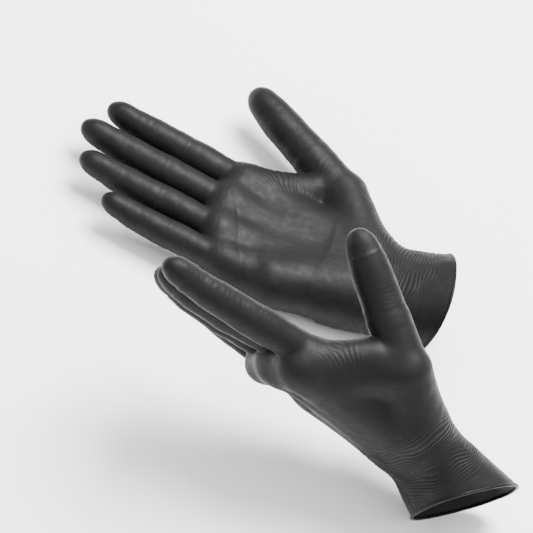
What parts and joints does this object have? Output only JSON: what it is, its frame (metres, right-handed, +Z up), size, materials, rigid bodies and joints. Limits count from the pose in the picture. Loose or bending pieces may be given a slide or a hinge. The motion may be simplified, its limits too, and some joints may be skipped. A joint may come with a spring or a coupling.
{
  "type": "pair of disposable gloves",
  "caption": "Pair of black dipped-film gloves in the shape of the hands that wear them, with bending fingers, thumbs and wrists and rolled cuff beads",
  "frame": {"origin": "on the surface that the pair rests on, under the middle of its overall box", "axes": "+Z up; -X the way the right glove's fingers point, +X towards the cuffs; +Y the side of the right thumb, -Y the side of the left glove"},
  "size_m": [0.3094, 0.25, 0.1492],
  "materials": {
    "film": "matte black dipped film with a soft sheen",
    "bead": "rolled black film, slightly glossier"
  },
  "bodies": {
    "right_palm": {"right_palm": "film", "right_wrist_fold": "film", "right_index_base_fold": "film", "right_middle_base_fold": "film", "right_ring_base_fold": "film", "right_little_base_fold": "film", "right_thumb_base_fold": "film"},
    "right_cuff": {"right_cuff": "film", "right_cuff_bead": "bead"},
    "right_index_base": {"right_index_base": "film", "right_index_middle_fold": "film"},
    "right_index_tip": {"right_index_tip": "film"},
    "right_middle_base": {"right_middle_base": "film", "right_middle_middle_fold": "film"},
    "right_middle_tip": {"right_middle_tip": "film"},
    "right_ring_base": {"right_ring_base": "film", "right_ring_middle_fold": "film"},
    "right_ring_tip": {"right_ring_tip": "film"},
    "right_little_base": {"right_little_base": "film", "right_little_middle_fold": "film"},
    "right_little_tip": {"right_little_tip": "film"},
    "right_thumb_base": {"right_thumb_base": "film", "right_thumb_middle_fold": "film"},
    "right_thumb_tip": {"right_thumb_tip": "film"},
    "left_palm": {"left_palm": "film", "left_wrist_fold": "film", "left_index_base_fold": "film", "left_middle_base_fold": "film", "left_ring_base_fold": "film", "left_little_base_fold": "film", "left_thumb_base_fold": "film"},
    "left_cuff": {"left_cuff": "film", "left_cuff_bead": "bead"},
    "left_index_base": {"left_index_base": "film", "left_index_middle_fold": "film"},
    "left_index_tip": {"left_index_tip": "film"},
    "left_middle_base": {"left_middle_base": "film", "left_middle_middle_fold": "film"},
    "left_middle_tip": {"left_middle_tip": "film"},
    "left_ring_base": {"left_ring_base": "film", "left_ring_middle_fold": "film"},
    "left_ring_tip": {"left_ring_tip": "film"},
    "left_little_base": {"left_little_base": "film", "left_little_middle_fold": "film"},
    "left_little_tip": {"left_little_tip": "film"},
    "left_thumb_base": {"left_thumb_base": "film", "left_thumb_middle_fold": "film"},
    "left_thumb_tip": {"left_thumb_tip": "film"}
  },
  "joints": [
    {"name": "right_wrist_bend", "type": "hinge", "parent": "right_palm", "child": "right_cuff", "pos_m": [0.04202, 0.03694, 0.01957], "axis": [0, 1, 0], "range_deg": [-10, 10], "stiffness_Nm_per_rad": 0.08, "deforming": ["right_wrist_fold"]},
    {"name": "right_index_base_bend", "type": "hinge", "parent": "right_palm", "child": "right_index_base", "pos_m": [-0.07027, 0.06094, 0.02276], "axis": [0.0175, 0.9998, 0], "range_deg": [-5, 45], "stiffness_Nm_per_rad": 0.008, "deforming": ["right_index_base_fold"]},
    {"name": "right_index_middle_bend", "type": "hinge", "parent": "right_index_base", "child": "right_index_tip", "pos_m": [-0.09627, 0.06139, 0.02234], "axis": [0.0175, 0.9998, 0], "range_deg": [0, 60], "stiffness_Nm_per_rad": 0.004, "deforming": ["right_index_middle_fold"]},
    {"name": "right_middle_base_bend", "type": "hinge", "parent": "right_palm", "child": "right_middle_base", "pos_m": [-0.07327, 0.04094, 0.02276], "axis": [0, 1, 0], "range_deg": [-5, 45], "stiffness_Nm_per_rad": 0.008, "deforming": ["right_middle_base_fold"]},
    {"name": "right_middle_middle_bend", "type": "hinge", "parent": "right_middle_base", "child": "right_middle_tip", "pos_m": [-0.10127, 0.04094, 0.02234], "axis": [0, 1, 0], "range_deg": [0, 60], "stiffness_Nm_per_rad": 0.004, "deforming": ["right_middle_middle_fold"]},
    {"name": "right_ring_base_bend", "type": "hinge", "parent": "right_palm", "child": "right_ring_base", "pos_m": [-0.06927, 0.02094, 0.02252], "axis": [-0.0175, 0.9998, 0], "range_deg": [-5, 45], "stiffness_Nm_per_rad": 0.008, "deforming": ["right_ring_base_fold"]},
    {"name": "right_ring_middle_bend", "type": "hinge", "parent": "right_ring_base", "child": "right_ring_tip", "pos_m": [-0.09577, 0.02048, 0.0221], "axis": [-0.0175, 0.9998, 0], "range_deg": [0, 60], "stiffness_Nm_per_rad": 0.004, "deforming": ["right_ring_middle_fold"]},
    {"name": "right_little_base_bend", "type": "hinge", "parent": "right_palm", "child": "right_little_base", "pos_m": [-0.06127, 0.00194, 0.02216], "axis": [-0.0349, 0.9994, 0], "range_deg": [-5, 45], "stiffness_Nm_per_rad": 0.008, "deforming": ["right_little_base_fold"]},
    {"name": "right_little_middle_bend", "type": "hinge", "parent": "right_little_base", "child": "right_little_tip", "pos_m": [-0.08226, 0.00121, 0.02168], "axis": [-0.0349, 0.9994, 0], "range_deg": [0, 60], "stiffness_Nm_per_rad": 0.004, "deforming": ["right_little_middle_fold"]},
    {"name": "right_thumb_base_bend", "type": "hinge", "parent": "right_palm", "child": "right_thumb_base", "pos_m": [-0.01042, 0.08288, 0.02603], "axis": [0.3026, 0.5719, 0.7625], "range_deg": [-10, 25], "stiffness_Nm_per_rad": 0.015, "deforming": ["right_thumb_base_fold"]},
    {"name": "right_thumb_middle_bend", "type": "hinge", "parent": "right_thumb_base", "child": "right_thumb_tip", "pos_m": [-0.04537, 0.09941, 0.02749], "axis": [0.3026, 0.5719, 0.7625], "range_deg": [0, 40], "stiffness_Nm_per_rad": 0.005, "deforming": ["right_thumb_middle_fold"]},
    {"name": "left_glove_lift", "type": "slide", "parent": "right_palm", "child": "left_palm", "axis": [0, 0, 1], "range_m": [0, 0.12]},
    {"name": "left_wrist_bend", "type": "hinge", "parent": "left_palm", "child": "left_cuff", "pos_m": [0.09856, -0.07385, 0.04659], "axis": [0.4068, -0.4309, 0.8055], "range_deg": [-10, 10], "stiffness_Nm_per_rad": 0.08, "deforming": ["left_wrist_fold"]},
    {"name": "left_index_base_bend", "type": "hinge", "parent": "left_palm", "child": "left_index_base", "pos_m": [0.00579, -0.09604, 0.11114], "axis": [-0.3908, 0.4337, -0.8119], "range_deg": [-5, 45], "stiffness_Nm_per_rad": 0.008, "deforming": ["left_index_base_fold"]},
    {"name": "left_index_middle_bend", "type": "hinge", "parent": "left_index_base", "child": "left_index_tip", "pos_m": [-0.01811, -0.102, 0.11947], "axis": [-0.3908, 0.4337, -0.8119], "range_deg": [0, 60], "stiffness_Nm_per_rad": 0.004, "deforming": ["left_index_middle_fold"]},
    {"name": "left_middle_base_bend", "type": "hinge", "parent": "left_palm", "child": "left_middle_base", "pos_m": [-0.00518, -0.08793, 0.09619], "axis": [-0.3908, 0.4337, -0.8119], "range_deg": [-5, 45], "stiffness_Nm_per_rad": 0.008, "deforming": ["left_middle_base_fold"]},
    {"name": "left_middle_middle_bend", "type": "hinge", "parent": "left_middle_base", "child": "left_middle_tip", "pos_m": [-0.0309, -0.09474, 0.10493], "axis": [-0.3908, 0.4337, -0.8119], "range_deg": [0, 60], "stiffness_Nm_per_rad": 0.004, "deforming": ["left_middle_middle_fold"]},
    {"name": "left_ring_base_bend", "type": "hinge", "parent": "left_palm", "child": "left_ring_base", "pos_m": [-0.00947, -0.07884, 0.07841], "axis": [-0.4068, 0.4309, -0.8055], "range_deg": [-5, 45], "stiffness_Nm_per_rad": 0.008, "deforming": ["left_ring_base_fold"]},
    {"name": "left_ring_middle_bend", "type": "hinge", "parent": "left_ring_base", "child": "left_ring_tip", "pos_m": [-0.03367, -0.0847, 0.08749], "axis": [-0.4068, 0.4309, -0.8055], "range_deg": [0, 60], "stiffness_Nm_per_rad": 0.004, "deforming": ["left_ring_middle_fold"]},
    {"name": "left_little_base_bend", "type": "hinge", "parent": "left_palm", "child": "left_little_base", "pos_m": [-0.0094, -0.06959, 0.05972], "axis": [-0.4227, 0.4281, -0.7988], "range_deg": [-5, 45], "stiffness_Nm_per_rad": 0.008, "deforming": ["left_little_base_fold"]},
    {"name": "left_little_middle_bend", "type": "hinge", "parent": "left_little_base", "child": "left_little_tip", "pos_m": [-0.0284, -0.07258, 0.06817], "axis": [-0.4227, 0.4281, -0.7988], "range_deg": [0, 60], "stiffness_Nm_per_rad": 0.004, "deforming": ["left_little_middle_fold"]},
    {"name": "left_thumb_base_bend", "type": "hinge", "parent": "left_palm", "child": "left_thumb_base", "pos_m": [0.06459, -0.06915, 0.10321], "axis": [-0.6682, -0.4743, -0.5732], "range_deg": [-10, 25], "stiffness_Nm_per_rad": 0.015, "deforming": ["left_thumb_base_fold"]},
    {"name": "left_thumb_middle_bend", "type": "hinge", "parent": "left_thumb_base", "child": "left_thumb_tip", "pos_m": [0.03709, -0.05316, 0.12204], "axis": [-0.6682, -0.4743, -0.5732], "range_deg": [0, 40], "stiffness_Nm_per_rad": 0.005, "deforming": ["left_thumb_middle_fold"]}
  ]
}
